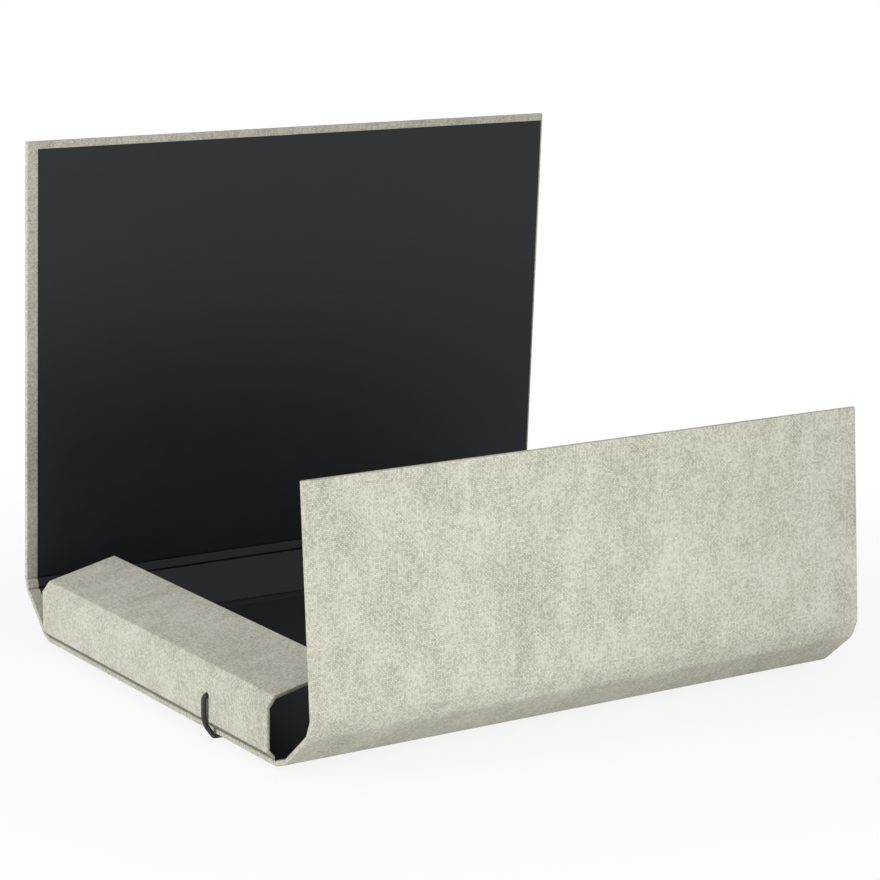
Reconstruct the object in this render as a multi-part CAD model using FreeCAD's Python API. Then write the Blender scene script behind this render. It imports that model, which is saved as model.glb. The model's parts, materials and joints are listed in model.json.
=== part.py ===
import FreeCAD, Part

import math
import os

os.makedirs("parts", exist_ok=True)

Vector = FreeCAD.Vector
X_AXIS = Vector(1, 0, 0)
Y_AXIS = Vector(0, 1, 0)
Z_AXIS = Vector(0, 0, 1)

# Outline of the folder, in millimetres
folder_width = 325.0
base_depth = 236.4
rear_spine_height = 27.4
front_flap_length = 110.5
side_top_flap_width = 39.3

# Narrow strips between two creases, which turn each corner in two folds
rear_strip_width = 6.4
front_strip_width = 9.6
side_lower_strip_width = 5.6
side_upper_strip_width = 6.6

# Layers of a panel, from the outside in
cloth_thickness = 0.35
board_thickness = 2.1
side_board_thickness = 1.3
lining_thickness = 0.35

# Cloth turned in round the edges, up to where the lining starts
turn_in_left = 6.2
turn_in_right = 1.2
turn_in_free_edge = 3.9
turn_in_side_flap = 3.2
edge_radius = 0.6
side_edge_radius = 0.5

# Creases: the board is bevelled so that it stops at the full fold
full_fold_angle = 45.0
crease_gap = 0.15
layer_gap = 0.4
side_flap_top_gap = 0.5
cover_edge_gap = 0.4
side_flap_end_gap = 0.45

# Fold of each crease as the folder stands, in degrees from flat
rear_lower_fold_angle = 22.3
rear_upper_fold_angle = 23.9
front_lower_fold_angle = 20.6
front_upper_fold_angle = 26.8
side_lower_fold_angle = 45.0
side_upper_fold_angle = 38.6

# Tabs that glue the side flaps to the base
glue_tab_width = 22.0
glue_tab_thickness = 0.5
glue_tab_crease_gap = 0.55
glue_tab_lining_gap = 0.3

# Elastic cord
elastic_diameter = 2.5
elastic_depth_from_middle = -60.7
elastic_hole_height = 19.6
elastic_hole_gap = 0.3
elastic_wall_gap = 0.65
elastic_base_gap = 0.1
elastic_exit_radius = 2.2
elastic_foot_radius = 14.0
knot_diameter = 7.0
knot_length = 6.0
knot_tail_length = 3.0
knot_wall_gap = 0.15
knot_shoulder_share = 0.72

# Cuts pass the faces they open by this much, and two lengths closer than this are the same
cut_overrun = 1.0
same_length = 0.001

# Sizes that follow from the ones above
panel_thickness = cloth_thickness + board_thickness + lining_thickness
side_panel_thickness = cloth_thickness + side_board_thickness + lining_thickness
half_fold_angle = math.radians(full_fold_angle / 2)
corner_step = math.sin(math.radians(full_fold_angle))
rear_height = rear_spine_height + 2 * rear_strip_width * corner_step
front_height = rear_height + panel_thickness + layer_gap
front_spine_height = front_height - 2 * front_strip_width * corner_step
cover_length = base_depth - panel_thickness * math.tan(half_fold_angle) - cover_edge_gap
side_strips_height = (side_lower_strip_width + side_upper_strip_width) * corner_step
side_inside_height = rear_height - 2 * panel_thickness - side_flap_top_gap
side_wall_height = side_inside_height - side_strips_height
side_flap_end_inset = panel_thickness * math.tan(half_fold_angle) + side_flap_end_gap
side_flap_length = base_depth - 2 * side_flap_end_inset
base_height = elastic_diameter + elastic_base_gap
elastic_radius = elastic_diameter / 2
elastic_edge_radius = edge_radius + elastic_base_gap + elastic_radius


class Panel:
    """One board with its cloth and lining, drawn flat with its first crease on the X axis."""

    def __init__(self, name, width, length, board, inner_crease, outer_crease, turn_ins, radius):
        self.name = name
        self.width = width
        self.length = length
        self.board = board
        self.thickness = cloth_thickness + board + lining_thickness
        self.creases = (inner_crease, outer_crease)
        self.turn_ins = turn_ins
        self.radius = radius
        self.nodes = {}
        self.draw()

    def edges_at(self, height, inset):
        """Where the panel starts and ends at a height, with a free edge drawn in by the inset."""
        bevel = crease_gap / math.cos(half_fold_angle) + height * math.tan(half_fold_angle)
        start = bevel if self.creases[0] else inset
        end = self.length - (bevel if self.creases[1] else inset)
        return start, end

    def slab(self, low, high, left, right, inset):
        """A bevelled slab between two heights, from one end of the panel to the other."""
        low_start, low_end = self.edges_at(low, inset)
        high_start, high_end = self.edges_at(high, inset)
        corners = [
            Vector(left, low_start, low),
            Vector(left, low_end, low),
            Vector(left, high_end, high),
            Vector(left, high_start, high),
        ]
        profile = Part.Face(Part.makePolygon(corners + corners[:1]))
        return profile.extrude(X_AXIS * (right - left))

    def draw(self):
        half = self.width / 2
        board_top = cloth_thickness + self.board
        left, right, free = self.turn_ins
        block = round_wrapped_edges(self.slab(0, self.thickness, -half, half, 0), self)
        core = self.slab(
            cloth_thickness, board_top, cloth_thickness - half, half - cloth_thickness, cloth_thickness
        )
        lining = self.slab(board_top, self.thickness, left - half, half - right, free)
        self.nodes["board"] = core
        self.nodes["cloth"] = block.cut(core).cut(lining).removeSplitter()
        self.nodes["lining"] = lining

    def drill(self, across, along, radius):
        """Cut a round hole through all three layers."""
        start = Vector(across, along, -cut_overrun)
        hole = Part.makeCylinder(radius, self.thickness + 2 * cut_overrun, start, Z_AXIS)
        for layer in self.nodes:
            self.nodes[layer] = self.nodes[layer].cut(hole)

    def place(self, placement):
        for layer, solid in self.nodes.items():
            moved = solid.copy()
            moved.Placement = placement.multiply(moved.Placement)
            self.nodes[layer] = moved


def round_wrapped_edges(block, panel):
    """Round the long edges where cloth wraps round an end or a free edge, but not along a crease."""
    half = panel.width / 2
    wrapped = []
    for edge in block.Edges:
        box = edge.BoundBox
        flat = box.ZLength < same_length
        at_end = flat and box.XLength < same_length and abs(abs(box.XMin) - half) < same_length
        along_free_edge = (
            not panel.creases[1]
            and box.YLength < same_length
            and abs(box.YMin - panel.length) < same_length
        )
        if at_end or along_free_edge:
            wrapped.append(edge)
    return block.makeFillet(panel.radius, wrapped)


def rigid(turn, start, height, angle):
    """Placement of a panel: it leaves a crease at an angle, in a chain turned about Z."""
    tilt = FreeCAD.Placement(Vector(0, start, height), FreeCAD.Rotation(X_AXIS, angle))
    spin = FreeCAD.Placement(Vector(0, 0, 0), FreeCAD.Rotation(Z_AXIS, turn))
    return spin.multiply(tilt)


def chain(turn, start, height, panels, folds):
    """Stand panels up one after another and return the creases they turn about."""
    creases = []
    angle = 0
    for panel, fold in zip(panels, folds):
        angle += fold
        placement = rigid(turn, start, height, angle)
        creases.append((panel.name, placement.Base, placement.Rotation.multVec(X_AXIS)))
        panel.place(placement)
        start += panel.length * math.cos(math.radians(angle))
        height += panel.length * math.sin(math.radians(angle))
    return creases


def base_panel():
    """The base lies flat between the front crease and the rear crease."""
    under_tab = glue_tab_crease_gap + glue_tab_width + glue_tab_lining_gap
    panel = Panel(
        "base",
        folder_width,
        base_depth,
        board_thickness,
        True,
        True,
        (under_tab, under_tab, 0),
        edge_radius,
    )
    panel.place(rigid(0, -base_depth / 2, base_height, 0))
    return panel


def main_panels(lengths, turn_ins):
    """The strips, spine and last panel of the front or the rear, in order from the base."""
    panels = []
    for name, length in lengths:
        last = name == lengths[-1][0]
        margins = turn_ins + (turn_in_free_edge,)
        panels.append(
            Panel(name, folder_width, length, board_thickness, True, not last, margins, edge_radius)
        )
    return panels


def rear_panels():
    lengths = (
        ("rear_lower_strip", rear_strip_width),
        ("rear_spine", rear_spine_height),
        ("rear_upper_strip", rear_strip_width),
        ("rear_cover", cover_length),
    )
    return main_panels(lengths, (turn_in_left, turn_in_right))


def front_panels():
    lengths = (
        ("front_lower_strip", front_strip_width),
        ("front_spine", front_spine_height),
        ("front_upper_strip", front_strip_width),
        ("front_flap", front_flap_length),
    )
    return main_panels(lengths, (turn_in_right, turn_in_left))


def side_panels(side):
    """One side flap, in order from the base's edge: strip, wall, strip and top flap."""
    lengths = (
        ("lower_strip", side_lower_strip_width),
        ("wall", side_wall_height),
        ("upper_strip", side_upper_strip_width),
        ("top_flap", side_top_flap_width),
    )
    panels = []
    for name, length in lengths:
        panels.append(
            Panel(
                side + "_" + name,
                side_flap_length,
                length,
                side_board_thickness,
                True,
                name != "top_flap",
                (turn_in_side_flap,) * 3,
                side_edge_radius,
            )
        )
    wall = panels[1]
    hole_along = elastic_hole_height - panel_thickness - side_lower_strip_width * corner_step
    across = elastic_depth_from_middle if side == "left" else -elastic_depth_from_middle
    wall.drill(across, hole_along, elastic_radius + elastic_hole_gap)
    return panels


def glue_tab(turn):
    """The strip of cloth and lining that holds a side flap down on the base."""
    outer_edge = folder_width / 2 - glue_tab_crease_gap
    tab = Part.makeBox(
        side_flap_length,
        glue_tab_width,
        glue_tab_thickness,
        Vector(-side_flap_length / 2, outer_edge - glue_tab_width, base_height + panel_thickness),
    )
    tab.rotate(Vector(0, 0, 0), Z_AXIS, turn)
    return tab


def tube(points, radii):
    """A round cord along straight runs joined by tangent arcs, one radius for each inner point."""
    edges = []
    here = points[0]
    for before, corner, after, radius in zip(points, points[1:], points[2:], radii):
        incoming = (corner - before).normalize()
        outgoing = (after - corner).normalize()
        turn = incoming.getAngle(outgoing)
        reach = radius * math.tan(turn / 2)
        arc_start = corner - incoming * reach
        arc_end = corner + outgoing * reach
        inwards = (outgoing - incoming).normalize()
        centre = corner + inwards * (radius / math.cos(turn / 2))
        edges.append(Part.LineSegment(here, arc_start).toShape())
        edges.append(Part.Arc(arc_start, centre - inwards * radius, arc_end).toShape())
        here = arc_end
        print("cord arc radius", round(radius, 2))
    edges.append(Part.LineSegment(here, points[-1]).toShape())
    path = Part.Wire(edges)
    start_direction = (points[1] - points[0]).normalize()
    ring = Part.Wire(Part.makeCircle(elastic_radius, points[0], start_direction))
    cord = path.makePipeShell([ring], True, False)
    section = math.pi * elastic_radius ** 2
    print("cord volume over section times length", round(cord.Volume / (section * path.Length), 4))
    print("cord length", round(path.Length, 1))
    return cord


def elastic_route():
    """Points of the left run, in order from the knot inside the wall to the underside.

    Below the hole the cord lies along the wall, then crosses straight from the wall's foot
    to the base's lower edge: that slanted stretch is the common tangent of two circles.
    """
    foot_step = side_lower_strip_width * corner_step
    wall_foot = Vector(-folder_width / 2 - foot_step, 0, base_height + panel_thickness + foot_step)
    base_edge = Vector(edge_radius - folder_width / 2, 0, base_height + edge_radius)
    foot_reach = elastic_radius + elastic_wall_gap
    across = base_edge - wall_foot
    steepness = math.atan2(across.x, -across.z)
    slant = steepness - math.asin((elastic_edge_radius - foot_reach) / across.Length)
    outside = wall_foot.x - foot_reach
    slant_top = wall_foot.z - foot_reach * math.tan(slant / 2)
    under = base_edge.z - elastic_edge_radius
    slant_end = outside + (slant_top - under) * math.tan(slant)
    depth = elastic_depth_from_middle
    hole = base_height + elastic_hole_height
    knot_face = wall_foot.x + side_panel_thickness + knot_wall_gap
    return [
        Vector(knot_face, depth, hole),
        Vector(outside, depth, hole),
        Vector(outside, depth, slant_top),
        Vector(slant_end, depth, under),
        Vector(base_edge.x + elastic_diameter, depth, under),
    ]


def elastic_run(mirror):
    """From the knot out through the wall, down and round the base's lower edge."""
    points = [Vector(mirror * point.x, point.y, point.z) for point in elastic_route()]
    return tube(points, (elastic_exit_radius, elastic_foot_radius, elastic_edge_radius))


def elastic_under_base():
    """The straight stretch across the underside, between the two side runs."""
    start = elastic_route()[-1]
    return Part.makeCylinder(elastic_radius, -2 * start.x, start, X_AXIS)


def cord_knot(mirror):
    """The knot inside a wall: a barrel drawn tight against the hole, with its cut tail."""
    start = elastic_route()[0]
    belly = knot_diameter / 2
    shoulder = belly * knot_shoulder_share
    low = Vector(0, shoulder, 0)
    high = Vector(knot_length, shoulder, 0)
    curve = Part.Arc(low, Vector(knot_length / 2, belly, 0), high).toShape()
    outline = [
        Part.LineSegment(Vector(0, 0, 0), low).toShape(),
        curve,
        Part.LineSegment(high, Vector(knot_length, 0, 0)).toShape(),
        Part.LineSegment(Vector(knot_length, 0, 0), Vector(0, 0, 0)).toShape(),
    ]
    barrel = Part.Face(Part.Wire(outline)).revolve(Vector(0, 0, 0), X_AXIS, 360)
    tail_start = Vector(knot_length / 2, 0, 0)
    tail = Part.makeCylinder(
        elastic_radius, knot_length / 2 + knot_tail_length, tail_start, X_AXIS
    )
    knot = barrel.fuse(tail).removeSplitter()
    knot.translate(start)
    if mirror < 0:
        knot.rotate(Vector(0, start.y, start.z), Z_AXIS, 180)
    return knot


def side_chain(side, turn):
    panels = side_panels(side)
    folds = (side_lower_fold_angle,) * 2 + (side_upper_fold_angle,) * 2
    creases = chain(turn, folder_width / 2, base_height + panel_thickness, panels, folds)
    return panels, creases


def all_nodes():
    """Every solid under its node name, and every crease with its point and axis."""
    base = base_panel()
    rear = rear_panels()
    front = front_panels()
    rear_folds = (rear_lower_fold_angle,) * 2 + (rear_upper_fold_angle,) * 2
    front_folds = (front_lower_fold_angle,) * 2 + (front_upper_fold_angle,) * 2
    creases = chain(0, base_depth / 2, base_height, rear, rear_folds)
    creases += chain(180, base_depth / 2, base_height, front, front_folds)
    left, left_creases = side_chain("left", 90)
    right, right_creases = side_chain("right", -90)
    creases += left_creases + right_creases
    nodes = {}
    for panel in [base] + rear + front + left + right:
        for layer, solid in panel.nodes.items():
            nodes[panel.name + "_" + layer] = solid
    nodes["left_glue_tab"] = glue_tab(90)
    nodes["right_glue_tab"] = glue_tab(-90)
    nodes["elastic_left_run"] = elastic_run(1)
    nodes["elastic_right_run"] = elastic_run(-1)
    nodes["elastic_under_base"] = elastic_under_base()
    nodes["left_cord_knot"] = cord_knot(1)
    nodes["right_cord_knot"] = cord_knot(-1)
    return nodes, creases


def to_footprint_centre(nodes, creases):
    """Move the model so that the origin is the middle of its footprint, on the surface it stands on."""
    cover = nodes["rear_cover_cloth"].fuse(nodes["rear_upper_strip_cloth"]).BoundBox
    flap = nodes["front_flap_cloth"].fuse(nodes["front_upper_strip_cloth"]).BoundBox
    shift = Vector(0, -(cover.YMax + flap.YMin) / 2, 0)
    for solid in nodes.values():
        solid.translate(shift)
    return shift, [(name, point + shift, axis) for name, point, axis in creases]


nodes, creases = all_nodes()
origin_shift, creases = to_footprint_centre(nodes, creases)
for node, solid in nodes.items():
    solid.exportStep("parts/" + node + ".step")
print(len(nodes), "nodes, closed size", round(rear_height, 2), round(front_height, 2))
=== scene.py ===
import json
import math
import bmesh
import bpy
from mathutils import Matrix, Vector


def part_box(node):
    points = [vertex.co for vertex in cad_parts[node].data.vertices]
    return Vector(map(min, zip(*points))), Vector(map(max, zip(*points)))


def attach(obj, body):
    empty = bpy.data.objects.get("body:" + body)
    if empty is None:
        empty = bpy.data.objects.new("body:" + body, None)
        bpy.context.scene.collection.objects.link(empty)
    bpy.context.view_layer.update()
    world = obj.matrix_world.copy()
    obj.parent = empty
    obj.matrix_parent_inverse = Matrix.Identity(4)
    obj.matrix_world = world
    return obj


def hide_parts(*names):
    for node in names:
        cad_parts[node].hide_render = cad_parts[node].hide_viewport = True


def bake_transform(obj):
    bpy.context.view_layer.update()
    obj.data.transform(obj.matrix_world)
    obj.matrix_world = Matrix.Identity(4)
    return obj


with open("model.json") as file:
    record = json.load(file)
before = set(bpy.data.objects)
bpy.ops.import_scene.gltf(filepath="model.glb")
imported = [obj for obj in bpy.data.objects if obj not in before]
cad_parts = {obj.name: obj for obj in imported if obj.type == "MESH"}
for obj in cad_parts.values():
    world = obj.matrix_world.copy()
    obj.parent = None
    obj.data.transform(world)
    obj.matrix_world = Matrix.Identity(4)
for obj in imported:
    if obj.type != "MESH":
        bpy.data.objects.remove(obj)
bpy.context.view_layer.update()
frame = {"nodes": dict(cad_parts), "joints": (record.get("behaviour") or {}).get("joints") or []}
bpy.ops.object.select_all(action="DESELECT")


# camera: same place and angle as the photograph was taken from
cameraView = {
    "place": (-0.790258, -1.185551, 0.428864),
    "turn": (77.6339, -0.7580, -33.6378),   # degrees about X, Y and Z
    "lens": 115.786,
    "sensor": 36.0,
}
bpy.ops.object.camera_add(location=cameraView["place"],
                          rotation=[math.radians(angle) for angle in cameraView["turn"]])
camera = bpy.context.object
camera.data.lens = cameraView["lens"]
camera.data.sensor_width = cameraView["sensor"]
camera.data.clip_end = 20
bpy.context.scene.camera = camera
print("camera set")


# shader maths: a Wire is one output socket, and sums on wires add Math nodes
class Wire:
    def __init__(self, tree, socket=None):
        self.tree = tree
        self.socket = socket

    def node(self, kind, settings, values, output=0):
        made = self.tree.nodes.new(kind)
        for key, value in settings.items():   # settings first: they decide which sockets there are
            setattr(made, key, value)
        for key, value in values.items():
            if isinstance(value, Wire):
                self.tree.links.new(value.socket, made.inputs[key])
            else:
                made.inputs[key].default_value = value
        return Wire(self.tree, made.outputs[output])

    def math(self, operation, first, second=0.0, clamp=False):
        return self.node("ShaderNodeMath", {"operation": operation, "use_clamp": clamp}, {0: first, 1: second})

    def __add__(self, other):
        return self.math("ADD", self, other)

    def __sub__(self, other):
        return self.math("SUBTRACT", self, other)

    def __rsub__(self, other):
        return self.math("SUBTRACT", other, self)

    def __mul__(self, other):
        return self.math("MULTIPLY", self, other)

    def __pow__(self, other):
        return self.math("POWER", self, other)

    def sine(self):
        return self.math("SINE", self)

    def size(self):
        return self.math("ABSOLUTE", self)

    def whole(self):
        return self.math("FLOOR", self)

    def remainder(self, other):
        return self.math("FLOORED_MODULO", self, other)

    def clamped(self):
        return self.math("ADD", self, 0.0, clamp=True)

    def part(self, index):
        return self.node("ShaderNodeSeparateXYZ", {}, {0: self}, index)

    def mixed(self, first, second):
        # first where this wire is 0, second where it is 1
        return self.node("ShaderNodeMix", {"data_type": "FLOAT"}, {0: self, 2: first, 3: second})

    def blendColor(self, first, second):
        return self.node("ShaderNodeMix", {"data_type": "RGBA", "clamp_factor": True},
                         {0: self, 6: first, 7: second}, 2)

    def bump(self, strength, distance):
        return self.node("ShaderNodeBump", {}, {"Height": self, "Strength": strength, "Distance": distance})


def newMaterial(name, roughness):
    material = bpy.data.materials.new(name)
    material.use_nodes = True
    tree = material.node_tree
    surface = next(node for node in tree.nodes if node.type == "BSDF_PRINCIPLED")
    surface.inputs["Roughness"].default_value = roughness
    return material, tree, surface


def sheetPlace(tree):
    # place on the flat sheet in metres, from the piece's own UV map
    return Wire(tree).node("ShaderNodeUVMap", {"uv_map": "UVMap"}, {})


def noiseAt(place, detail=2.0, rough=0.5):
    return place.node("ShaderNodeTexNoise", {"noise_dimensions": "3D"},
                      {"Vector": place, "Scale": 1.0, "Detail": detail, "Roughness": rough})


def sheetNoise(tree, across, along, high, detail=2.0, rough=0.5):
    place = sheetPlace(tree)
    scaled = place.node("ShaderNodeVectorMath", {"operation": "MULTIPLY_ADD"},
                        {0: place, 1: (across, along, 1.0), 2: (0.0, 0.0, high)})
    return noiseAt(scaled, detail, rough)


linenFinish = {
    "pale": (0.690, 0.674, 0.576, 1),
    "grey": (0.330, 0.322, 0.247, 1),
    "tuckedPale": (0.235, 0.229, 0.190, 1),   # painted shade on the outside of the side flaps' lower strips, where the shadow under the wall's foot falls
    "tuckedGrey": (0.115, 0.112, 0.084, 1),
    "pitch": 0.00092,         # one thread, metres
    "slub": 0.07,             # thick places along a thread, per thread width
    "waver": 0.7,             # how far a thread strays, in thread widths
    "roughness": 0.88,
    "bump": 0.4,
}


def threadTone(count, along, seed):
    # each thread has its own tone, which drifts along its length
    number = count.whole() * 7.31
    place = number.node("ShaderNodeCombineXYZ", {}, {0: number, 1: along * linenFinish["slub"], 2: seed})
    return noiseAt(place, 4.0, 0.72)


def makeLinen():
    material, tree, surface = newMaterial("naturalLinen", linenFinish["roughness"])
    perMetre = 1 / linenFinish["pitch"]
    place = sheetPlace(tree)
    across = place.part(0) * perMetre + (sheetNoise(tree, 60, 60, 3.0) - 0.5) * linenFinish["waver"]
    along = place.part(1) * perMetre + (sheetNoise(tree, 60, 60, 8.0) - 0.5) * linenFinish["waver"]
    over = (across.whole() + along.whole()).remainder(2.0)
    warp = threadTone(across, along, 1.0)
    weft = threadTone(along, across, 20.0)
    thread = over.mixed(warp, weft)
    onWarp = (across * math.pi).sine().size()   # 1 on the middle of a thread, 0 between two
    onWeft = (along * math.pi).sine().size()
    crown = over.mixed(onWarp * (onWeft * 0.4 + 0.6), onWeft * (onWarp * 0.4 + 0.6))
    cell = across.node("ShaderNodeCombineXYZ", {}, {0: across.whole(), 1: along.whole()})
    speck = cell.node("ShaderNodeTexWhiteNoise", {"noise_dimensions": "2D"}, {"Vector": cell})
    patches = sheetNoise(tree, 90, 45, 5.0, 2.0, 0.5)
    broad = sheetNoise(tree, 34, 17, 7.0, 3.0, 0.5)
    slubs = (warp * -6.0 + 2.3).clamped() + (weft * -6.0 + 2.3).clamped()   # long pale threads
    # painted shade in the weave: the crown term darkens the gaps between threads and the over term darkens the
    # stitches where the weft lies on top, as the weave's relief would shade them; the thread, speck, slub and patch
    # terms are the cloth's own tone
    greyness = ((thread - 0.5) * 0.5 + (warp + weft - 1.0) * 0.4 + (speck - 0.5) * 0.6 + (over - 0.5) * 0.2
                - crown * 0.6 - slubs * 0.25 + (patches - 0.5) * 0.6 + (broad - 0.5) * 0.7 + 0.68).clamped()
    lit = greyness.blendColor(linenFinish["pale"], linenFinish["grey"])
    # painted shade: the same linen drawn darker, put by the mask read below under the side walls' feet where the
    # shadow falls
    tucked = greyness.blendColor(linenFinish["tuckedPale"], linenFinish["tuckedGrey"])
    foot = place.node("ShaderNodeAttribute", {"attribute_name": "tucked"}, {}, "Fac")
    tree.links.new(foot.blendColor(lit, tucked).socket, surface.inputs["Base Color"])
    height = crown * 0.6 + (0.5 - thread) * 1.5
    tree.links.new(height.bump(linenFinish["bump"], 0.00025).socket, surface.inputs["Normal"])
    surface.inputs["Sheen Weight"].default_value = 0.1
    surface.inputs["Sheen Roughness"].default_value = 0.6
    surface.inputs["Specular IOR Level"].default_value = 0.25
    return material


liningFinish = {
    "dark": (0.0086, 0.0098, 0.0122, 1),
    "light": (0.0146, 0.0165, 0.0200, 1),
    "roughness": 0.62,
    "bump": 0.12,
}


def makeLining():
    material, tree, surface = newMaterial("darkLining", liningFinish["roughness"])
    grain = sheetNoise(tree, 1800, 1800, 1.0, 3.0, 0.6)
    laid = sheetNoise(tree, 60, 1300, 2.0, 2.0, 0.5)
    clouds = sheetNoise(tree, 45, 45, 4.0, 3.0, 0.55)
    tone = ((grain - 0.5) * 0.9 + (laid - 0.5) * 0.8 + (clouds - 0.5) * 1.0 + 0.45).clamped()
    tree.links.new(tone.blendColor(liningFinish["dark"], liningFinish["light"]).socket,
                   surface.inputs["Base Color"])
    rough = (grain - 0.5) * 0.15 + (clouds - 0.5) * 0.1 + liningFinish["roughness"]
    tree.links.new(rough.socket, surface.inputs["Roughness"])
    height = grain * 0.7 + laid * 0.5
    tree.links.new(height.bump(liningFinish["bump"], 0.0002).socket, surface.inputs["Normal"])
    surface.inputs["Specular IOR Level"].default_value = 0.32
    return material


boardFinish = {"pale": (0.36, 0.34, 0.31, 1), "fleck": (0.20, 0.19, 0.17, 1), "roughness": 0.9}


def makeBoard():
    material, tree, surface = newMaterial("greyBoard", boardFinish["roughness"])
    place = Wire(tree).node("ShaderNodeTexCoord", {}, {}, 3)
    layers = place.node("ShaderNodeMapping", {}, {"Vector": place, "Scale": (300, 300, 2500)})
    fibres = noiseAt(layers, 4.0)
    tone = ((fibres - 0.45) * 2.2).clamped()
    tree.links.new(tone.blendColor(boardFinish["pale"], boardFinish["fleck"]).socket,
                   surface.inputs["Base Color"])
    tree.links.new(fibres.bump(0.3, 0.0002).socket, surface.inputs["Normal"])
    return material


cordFinish = {
    "dark": (0.008, 0.0072, 0.0068, 1),
    "light": (0.040, 0.035, 0.031, 1),
    "strands": 8,             # strands that cross round the cord
    "stitch": 0.0011,         # one crossing along the cord, metres
    "roughness": 0.48,
}


def makeCordCover():
    material, tree, surface = newMaterial("braidedCord", cordFinish["roughness"])
    place = sheetPlace(tree)
    around = place.part(0) * (math.pi * cordFinish["strands"])
    along = place.part(1) * (math.pi / cordFinish["stitch"])
    braid = ((along + around).sine() * (along - around).sine() * 0.5 + 0.5).clamped()
    tree.links.new(braid.blendColor(cordFinish["dark"], cordFinish["light"]).socket,
                   surface.inputs["Base Color"])
    tree.links.new(braid.bump(0.5, 0.0002).socket, surface.inputs["Normal"])
    return material


linen = makeLinen()
lining = makeLining()
greyBoard = makeBoard()
cordCover = makeCordCover()
print("materials made")


# panels: how the cloth and the lining lie on the boards, metres
panelCloth = {
    "halfWidth": 0.1625,
    "liningEnds": (-0.1563, 0.1613),      # where the lining stops at the left and right ends
    "thickness": 0.0028,
    "clothTop": 0.00262,                   # the turned-in cloth lies a little lower than the lining
    "liningUnder": 0.0024,
    "lip": 0.00132,                        # half the groove between two boards
    "edgeRadius": 0.0006,
    "softness": 0.0024,                    # how far from a crease the outer cloth starts to bend
    "bend": 0.0009,                        # how far from a crease it still moves with both panels
    "freeMargin": 0.0039,
}
sideCloth = {
    "halfWidth": None,                     # half the length of a side flap, from its own node
    "liningEnds": None,
    "thickness": 0.0020,
    "clothTop": 0.00182,
    "liningUnder": 0.0016,
    "lip": 0.00099,
    "edgeRadius": 0.0005,
    "softness": 0.0006,
    "bend": 0.0004,
    "freeMargin": 0.0032,
}
low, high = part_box("left_wall_cloth")
liningLow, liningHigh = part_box("left_wall_lining")
flapMiddle = (low.y + high.y) / 2
sideCloth["halfWidth"] = (high.y - low.y) / 2
sideCloth["liningEnds"] = (liningLow.y - flapMiddle, liningHigh.y - flapMiddle)
joints = {joint["child"]: joint for joint in frame["joints"]}


def activate(piece):
    bpy.ops.object.select_all(action="DESELECT")
    bpy.context.view_layer.objects.active = piece
    piece.select_set(True)


def addSlab(name, lowCorner, highCorner):
    lowCorner, highCorner = Vector(lowCorner), Vector(highCorner)
    bpy.ops.object.select_all(action="DESELECT")
    bpy.ops.mesh.primitive_cube_add(size=1, location=(lowCorner + highCorner) / 2,
                                    scale=highCorner - lowCorner)
    piece = bpy.context.object
    piece.name = piece.data.name = name
    bpy.ops.object.transform_apply(location=True, rotation=True, scale=True)
    return piece


def roundEdges(piece, radius, segments, freeEnd):
    # rounds the long edges at both ends of the panel, and the free edge if it has one
    stop = max(vert.co.y for vert in piece.data.vertices)
    near = 1e-6
    activate(piece)
    bpy.ops.object.mode_set(mode="EDIT")
    bpy.ops.mesh.select_mode(type="EDGE")
    bpy.ops.mesh.select_all(action="DESELECT")
    mesh = bmesh.from_edit_mesh(piece.data)
    for edge in mesh.edges:
        a, b = (vert.co for vert in edge.verts)
        acrossEnd = abs(a.x - b.x) < near and abs(a.z - b.z) < near
        atFree = freeEnd and min(a.y, b.y) > stop - near
        edge.select = acrossEnd or atFree
    bmesh.update_edit_mesh(piece.data)
    bpy.ops.mesh.bevel(offset=radius, segments=segments, profile=0.5, affect="EDGES")
    bpy.ops.object.mode_set(mode="OBJECT")


def cutLines(piece, rows, columns):
    # cuts the slab along and across, so that it can bend at those lines
    activate(piece)
    bpy.ops.object.mode_set(mode="EDIT")
    for place, direction in [((0, row, 0), (0, 1, 0)) for row in rows] + [((column, 0, 0), (1, 0, 0))
                                                                          for column in columns]:
        bpy.ops.mesh.select_all(action="SELECT")
        bpy.ops.mesh.bisect(plane_co=place, plane_no=direction)
    bpy.ops.object.mode_set(mode="OBJECT")


def cutHole(piece, across, along, radius):
    bpy.ops.object.select_all(action="DESELECT")
    bpy.ops.mesh.primitive_cylinder_add(vertices=32, radius=radius, depth=0.02, location=(across, along, 0))
    drill = bpy.context.object
    activate(piece)
    bpy.ops.object.modifier_add(type="BOOLEAN")
    piece.modifiers[-1].object = drill
    piece.modifiers[-1].solver = "EXACT"
    bpy.ops.object.modifier_apply(modifier=piece.modifiers[-1].name)
    bpy.data.objects.remove(drill)


def pressGroove(piece, cloth, depth, marginShare, above):
    # presses the inner face down into the gap between two boards, less where there is no lining
    left, right = cloth["liningEnds"]
    for vert in piece.data.vertices:
        share = max(0.0, 1 - (vert.co.y / cloth["lip"]) ** 2) ** 1.5
        if not left - 1e-5 < vert.co.x < right + 1e-5:
            share *= marginShare
        if vert.co.z > above:
            vert.co.z -= depth * share


def layOnSheet(piece, shiftAlong):
    # UV in metres on the flat cloth, carried round the ends where the cloth is turned in
    sheet = piece.data.uv_layers.get("UVMap") or piece.data.uv_layers.new(name="UVMap")
    for face in piece.data.polygons:
        for loop in face.loop_indices:
            co = piece.data.vertices[piece.data.loops[loop].vertex_index].co
            if abs(face.normal.x) > 0.71:
                sheet.data[loop].uv = (co.x + math.copysign(co.z, face.normal.x), co.y + shiftAlong)
            elif abs(face.normal.y) > 0.71:
                sheet.data[loop].uv = (co.x, co.y + math.copysign(co.z, face.normal.y) + shiftAlong)
            else:
                sheet.data[loop].uv = (co.x, co.y + shiftAlong)


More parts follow.
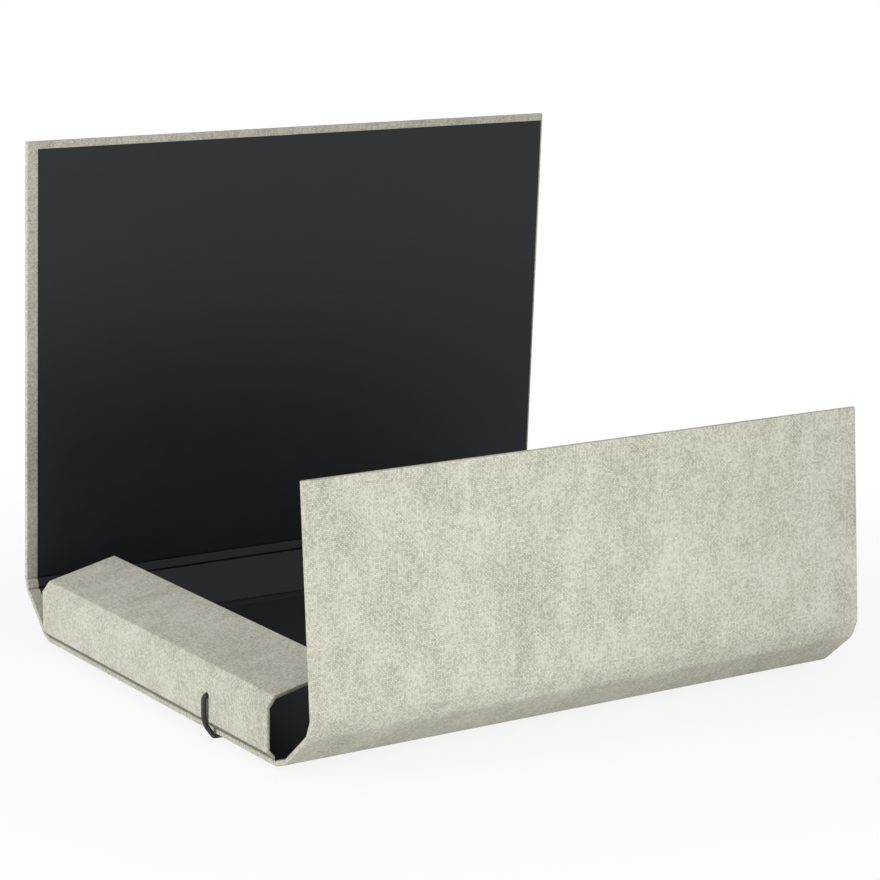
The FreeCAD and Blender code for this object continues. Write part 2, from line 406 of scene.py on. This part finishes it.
def markPaintedShade(piece, start, stop):
    # marks the outer face from start to stop along the panel for painted shade: the linen there is drawn darker
    # where the shadow under the wall's foot falls
    marks = piece.data.attributes.new("tucked", "FLOAT", "CORNER")
    for face in piece.data.polygons:
        inside = face.normal.z < -0.5 and start < face.center.y < stop
        for loop in face.loop_indices:
            marks.data[loop].value = 1.0 if inside else 0.0


def foldUp(piece, fold, softness, middle):
    # the outer face bends on an arc, and the inner faces meet in a sharp corner on the bisector
    radius = softness / math.tan(fold / 2)
    for vert in piece.data.vertices:
        y, z = vert.co.y, vert.co.z
        reach = softness if z < middle else z * math.tan(fold / 2)
        if y <= -reach:
            continue
        if y >= reach:
            turned = Matrix.Rotation(fold, 3, "X") @ Vector((0, y, z))
            vert.co.y, vert.co.z = turned.y, turned.z
        elif z < middle:
            angle = fold * (y + softness) / (2 * softness)
            vert.co.y = -softness + (radius - z) * math.sin(angle)
            vert.co.z = radius - (radius - z) * math.cos(angle)
        else:
            turned = Matrix.Rotation(fold / 2, 3, "X") @ Vector((0, 0, z / math.cos(fold / 2)))
            vert.co.y, vert.co.z = turned.y, turned.z


def settle(piece, place, material):
    # into the folder's own frame, with its looks and its shading
    piece.data.transform(place)
    piece.data.materials.clear()
    piece.data.materials.append(material)
    activate(piece)
    bpy.ops.object.shade_smooth_by_angle(angle=math.radians(31))
    bpy.ops.object.modifier_add(type="WEIGHTED_NORMAL")
    piece.modifiers[-1].keep_sharp = True
    piece.modifiers[-1].weight = 100
    bpy.ops.object.modifier_apply(modifier=piece.modifiers[-1].name)
    piece.select_set(False)


def makeCrease(name, cloth, reach, freeEnd, place, fold, groove, shiftAlong, hole, tucked):
    # the cloth and the lining round one crease, each in one piece from panel to panel
    back, ahead = reach
    half = cloth["halfWidth"]
    lip = cloth["lip"]
    soft = min(cloth["softness"], back * 0.9, ahead * 0.9)
    middle = cloth["thickness"] / 2
    depth, marginShare = groove
    rows = sorted({side * step for side in (-1, 1)
                   for step in (0.0, lip * 0.35, lip * 0.7, lip, soft / 2, soft)})
    left, right = cloth["liningEnds"]
    fade = 0.0007
    shell = addSlab(name + "Linen", (-half, -back, 0), (half, ahead, cloth["clothTop"]))
    roundEdges(shell, cloth["edgeRadius"], 5, freeEnd)
    cutLines(shell, rows, [edge for edge in (left - fade, left, right, right + fade) if abs(edge) < half])
    pressGroove(shell, cloth, depth, marginShare, cloth["edgeRadius"] * 1.01)
    end = ahead - cloth["freeMargin"] if freeEnd else ahead
    inner = addSlab(name + "Lining", (left, -back, cloth["liningUnder"]), (right, end, cloth["thickness"]))
    roundEdges(inner, 0.00012, 2, freeEnd)
    cutLines(inner, rows, [])
    pressGroove(inner, cloth, depth, 1.0, 0.0)
    if hole:
        cutHole(shell, *hole)
        cutHole(inner, *hole)
    # painted shade on the outer face of the side flaps' lower strips and the walls' feet
    if tucked:
        markPaintedShade(shell, *tucked)
    bend = cloth["bend"]
    for piece, material, slot in ((shell, linen, "linen"), (inner, lining, "lining")):
        layOnSheet(piece, shiftAlong)
        foldUp(piece, fold, soft, middle)
        settle(piece, place, material)
        start = place @ Vector((0, -bend, 0))
        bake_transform(piece)
    return shell, inner


def creaseFrame(turn, crease, angle):
    return Matrix.Translation(crease) @ Matrix.Rotation(turn, 4, "Z") @ Matrix.Rotation(angle, 4, "X")


def camel(node):
    words = node.split("_")
    return words[0] + "".join(word.capitalize() for word in words[1:])


# chains of panels: each groove is its depth and the share of it that shows in the cloth at the ends
chains = {
    "rear": {"turn": 0.0, "panels": ("lower_strip", "spine", "upper_strip", "cover"), "first": 0.014,
             "last": 0.23484, "grooves": ((0.0014, 0.3), (0.0007, 0.1), (0.0013, 0.8), (0.0005, 0.9))},
    "front": {"turn": math.pi, "panels": ("lower_strip", "spine", "upper_strip", "flap"), "first": 0.014,
              "last": 0.1105, "grooves": ((0.0017, 0.3), (0.0009, 0.1), (0.0009, 0.1), (0.0012, 0.1))},
    "left": {"turn": math.pi / 2, "panels": ("lower_strip", "wall", "upper_strip", "top_flap"),
             "first": 0.0005, "last": 0.0393, "grooves": ((0.0010, 0.2),) * 4},
    "right": {"turn": -math.pi / 2, "panels": ("lower_strip", "wall", "upper_strip", "top_flap"),
              "first": 0.0005, "last": 0.0393, "grooves": ((0.0010, 0.2),) * 4},
}

# elastic: the place of its left run in the folder's frame, metres; the right run is its mirror image
cord = {
    "radius": 0.00125,
    "holeRadius": 0.00155,
    "across": -0.058491,
    "knotFace": -0.16431,
    "exit": (-0.16836, 0.0222),
    "exitReach": 0.0022,      # how far from the corner the cord starts to bend
    "foot": (-0.16836, 0.00874),
    "edge": (-0.162891, 0.00125),
    "edgeReach": 0.00099,
    "underStart": -0.1594,
}

for side, chain in chains.items():
    onSide = side in ("left", "right")
    cloth = dict(sideCloth if onSide else panelCloth)
    if side in ("front", "right"):
        cloth["liningEnds"] = tuple(-end for end in reversed(cloth["liningEnds"]))
    names = [side + "_" + panel for panel in chain["panels"]]
    creases = [Vector(joints[name]["pos_m"]) for name in names]
    folds = [math.radians(joints[name]["range_deg"][1]) for name in names]
    lengths = [(after - before).length for before, after in zip(creases, creases[1:])] + [chain["last"]]
    angle = 0.0
    along = 0.0
    for index, name in enumerate(names):
        back = chain["first"] if index == 0 else lengths[index - 1] / 2
        last = index == len(names) - 1
        ahead = lengths[index] if last else lengths[index] / 2
        hole = None
        if onSide and chain["panels"][index] == "upper_strip":
            mirror = 1 if side == "left" else -1
            hole = (mirror * (cord["across"] - creases[index].y), cord["exit"][1] - creases[index].z,
                    cord["holeRadius"])
        # the outer faces of the lower strip and of the wall below its crease get painted shade, where the shadow
        # under the wall's foot falls
        tucked = {"lower_strip": (0, ahead), "wall": (-back, 0)}.get(chain["panels"][index]) if onSide else None
        shell, inner = makeCrease(camel(name), cloth, (back, ahead), last,
                                  creaseFrame(chain["turn"], creases[index], angle), folds[index],
                                  chain["grooves"][index], along, hole, tucked)
        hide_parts(name + "_cloth")
        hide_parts(name + "_lining")
        angle += folds[index]
        along += lengths[index]
    print(side, "chain covered")


# base: the flat stretch between the front and the rear creases, and the tabs that hold the side flaps
baseSpan = (joints["front_lower_strip"]["pos_m"][1], joints["rear_lower_strip"]["pos_m"][1])
baseUnder = joints["rear_lower_strip"]["pos_m"][2]
baseStart = baseSpan[0] + chains["front"]["first"]
baseEnd = baseSpan[1] - chains["rear"]["first"]
sheets = [
    ("baseLinen", linen, "linen", "base_cloth", 0.0006,
     (-panelCloth["halfWidth"], baseStart, baseUnder),
     (panelCloth["halfWidth"], baseEnd, baseUnder + panelCloth["clothTop"])),
    ("baseLining", lining, "lining", "base_lining", 0.00012,
     (panelCloth["liningEnds"][0], baseStart, baseUnder + panelCloth["liningUnder"]),
     (panelCloth["liningEnds"][1], baseEnd, baseUnder + panelCloth["thickness"])),
]
for side in ("left", "right"):
    lowCorner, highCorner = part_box(side + "_glue_tab")
    sheets.append((side + "GlueTab", lining, "lining", side + "_glue_tab", 0.00015, lowCorner, highCorner))
for name, material, slot, node, radius, lowCorner, highCorner in sheets:
    piece = addSlab(name, lowCorner, highCorner)
    roundEdges(piece, radius, 4, False)
    layOnSheet(piece, -baseSpan[1])
    settle(piece, Matrix.Identity(4), material)
    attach(piece, "base")
    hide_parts(node)
for node in frame["nodes"].values():
    if node.name.endswith("_board"):
        node.data.materials.clear()
        node.data.materials.append(greyBoard)
print("base covered")


def makeCord(name, points, radius):
    # a round cord along the points, which it touches halfway between one and the next
    bpy.ops.object.select_all(action="DESELECT")
    bpy.ops.curve.primitive_nurbs_path_add()
    piece = bpy.context.object
    route = piece.data
    route.splines.clear()
    spline = route.splines.new("NURBS")
    spline.points.add(len(points) - 1)
    for point, place in zip(spline.points, points):
        point.co = (*place, 1)
    spline.order_u = 3
    spline.use_endpoint_u = True
    spline.resolution_u = 8
    route.bevel_depth = radius
    route.bevel_resolution = 6
    route.use_fill_caps = True
    length = spline.calc_length()
    bpy.ops.object.convert(target="MESH")
    piece = bpy.context.object
    piece.name = piece.data.name = name
    bpy.ops.object.transform_apply(location=True, rotation=True, scale=True)
    bpy.ops.object.shade_smooth_by_angle(angle=math.radians(40))
    for corner in piece.data.uv_layers["UVMap"].data:
        corner.uv.y *= length
    piece.data.materials.clear()
    piece.data.materials.append(cordCover)
    return piece


def makeKnot(name, face, mirror):
    # an overhand knot: in along the middle, back round itself one turn and a half, and out under the wraps
    route = [(-0.0022, 0.0, 0), (0.0012, 0.0, 0), (0.0036, 0.0002, 0), (0.0052, 0.0010, 20)]
    for step in range(13):
        route.append((0.0048 - 0.00026 * step, 0.00250, 60 + 45 * step))
    route += [(0.0016, 0.0015, 650), (0.0030, 0.0009, 690), (0.0058, 0.0008, 700), (0.0090, 0.0007, 700)]
    points = []
    for inwards, out, turn in route:
        points.append(face + Vector((inwards * mirror, out * math.cos(math.radians(turn)),
                                     out * math.sin(math.radians(turn)))))
    return makeCord(name, points, 0.0012)


for side, mirror in (("left", 1), ("right", -1)):
    def onSide(x, z):
        return Vector((x * mirror, cord["across"], z))
    face = onSide(cord["knotFace"], cord["exit"][1])
    exitPoint = onSide(*cord["exit"])
    foot = onSide(*cord["foot"])
    edge = onSide(*cord["edge"])
    under = onSide(cord["underStart"], cord["edge"][1])
    slant = (edge - foot).normalized()
    halfway = (foot + edge) / 2
    inwards = (face - exitPoint).normalized() * cord["exitReach"] * 2
    down = (foot - exitPoint).normalized() * cord["exitReach"] * 2
    wallRun = [exitPoint + inwards * 1.4, exitPoint + inwards, exitPoint, exitPoint + down, foot, halfway]
    piece = makeCord(side + "CordOnWall", wallRun, cord["radius"])
    foot + Vector((0, 0, 0.0030))
    halfway - slant * 0.0006
    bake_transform(piece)
    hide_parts("elastic_" + side + "_run")
    bend = slant * cord["edgeReach"] * 2
    turned = (under - edge).normalized() * cord["edgeReach"] * 2
    edgeRun = [halfway, edge - bend, edge, edge + turned, under]
    piece = makeCord(side + "CordRoundEdge", edgeRun, cord["radius"])
    halfway + slant * 0.0006
    edge - slant * 0.0004
    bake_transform(piece)
    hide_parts("elastic_" + side + "_run")
    knot = makeKnot(side + "CordKnot", face, mirror)
    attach(knot, side + "_wall")
    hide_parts(side + "_cord_knot")
underRun = [Vector((place, cord["across"], cord["edge"][1]))
            for place in (cord["underStart"], 0.0, -cord["underStart"])]
piece = makeCord("cordUnderBase", underRun, cord["radius"])
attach(piece, "base")
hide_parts("elastic_under_base")
print("elastic threaded")


# floor and light
studio = {
    "floor": (0.60, 0.60, 0.60, 1),
    "seenFloor": (0.92, 0.92, 0.92, 1),
    "shadowReach": (0.22, 0.55),   # from the middle, metres: the shadow fades out over this
    "whiteNear": 0.86,
    "world": 0.43,
    "lamps": {
        "front": {"place": (-0.10, -0.75, 0.12), "aim": (0.0, 0.0, 0.09), "size": 0.24, "power": 2.35},
        "left": {"place": (-0.90, 0.05, 0.20), "aim": (0.0, 0.0, 0.05), "size": 0.35, "power": 3.7},
        "high": {"place": (-0.70, 0.05, 0.90), "aim": (0.0, 0.0, 0.05), "size": 0.50, "power": 1.0},
        "right": {"place": (0.50, -0.70, 0.40), "aim": (0.0, 0.0, 0.09), "size": 0.40, "power": 0.35},
    },
}


def seenWhite(tree):
    # 1 on what the camera sees, straight or in something shiny
    seen = Wire(tree).node("ShaderNodeLightPath", {}, {}, "Is Camera Ray")
    shiny = Wire(tree).node("ShaderNodeLightPath", {}, {}, "Is Glossy Ray")
    through = Wire(tree).node("ShaderNodeLightPath", {}, {}, "Is Transmission Ray")
    return (seen + shiny + through).clamped()


bpy.ops.object.select_all(action="DESELECT")
bpy.ops.mesh.primitive_plane_add(size=14, location=(0, 0, 0))
floor = bpy.context.object
floor.name = "studioFloor"
floorLook, tree, surface = newMaterial("paleFloor", 0.9)
tree.links.new(seenWhite(tree).blendColor(studio["floor"], studio["seenFloor"]).socket, surface.inputs["Base Color"])
surface.inputs["Specular IOR Level"].default_value = 0.0
place = Wire(tree).node("ShaderNodeTexCoord", {}, {}, 3)
away = place.node("ShaderNodeVectorMath", {"operation": "LENGTH"}, {0: place}, "Value")
far = away.node("ShaderNodeMapRange", {"interpolation_type": "SMOOTHSTEP", "clamp": True},
                {"Value": away, "From Min": studio["shadowReach"][0], "From Max": studio["shadowReach"][1],
                 "To Min": studio["whiteNear"], "To Max": 1.0})
paper = Wire(tree).node("ShaderNodeEmission", {}, {"Color": (1, 1, 1, 1), "Strength": 1.0})
shown = paper.node("ShaderNodeMixShader", {}, {0: seenWhite(tree) * far, 2: paper})
tree.links.new(surface.outputs["BSDF"], shown.socket.node.inputs[1])
tree.links.new(shown.socket, next(node for node in tree.nodes if node.type == "OUTPUT_MATERIAL").inputs["Surface"])
floor.data.materials.append(floorLook)
for name, light in studio["lamps"].items():
    aim = (Vector(light["aim"]) - Vector(light["place"])).to_track_quat("-Z", "Y").to_euler()
    bpy.ops.object.light_add(type="AREA", location=light["place"], rotation=aim)
    lamp = bpy.context.object
    lamp.name = name + "Lamp"
    lamp.data.shape = "DISK"
    lamp.data.size = light["size"]
    lamp.data.energy = light["power"]
world = bpy.data.worlds.new("studioWorld")
bpy.context.scene.world = world
world.use_nodes = True
tree = world.node_tree
sky = Wire(tree).node("ShaderNodeBackground", {}, {"Color": (1, 1, 1, 1), "Strength": studio["world"]})
backdrop = Wire(tree).node("ShaderNodeBackground", {}, {"Color": (1, 1, 1, 1), "Strength": 1.0})
shown = sky.node("ShaderNodeMixShader", {}, {0: seenWhite(tree), 1: sky, 2: backdrop})
tree.links.new(shown.socket, tree.nodes["World Output"].inputs["Surface"])
bpy.context.scene.view_settings.view_transform = "Standard"
print("studio set")
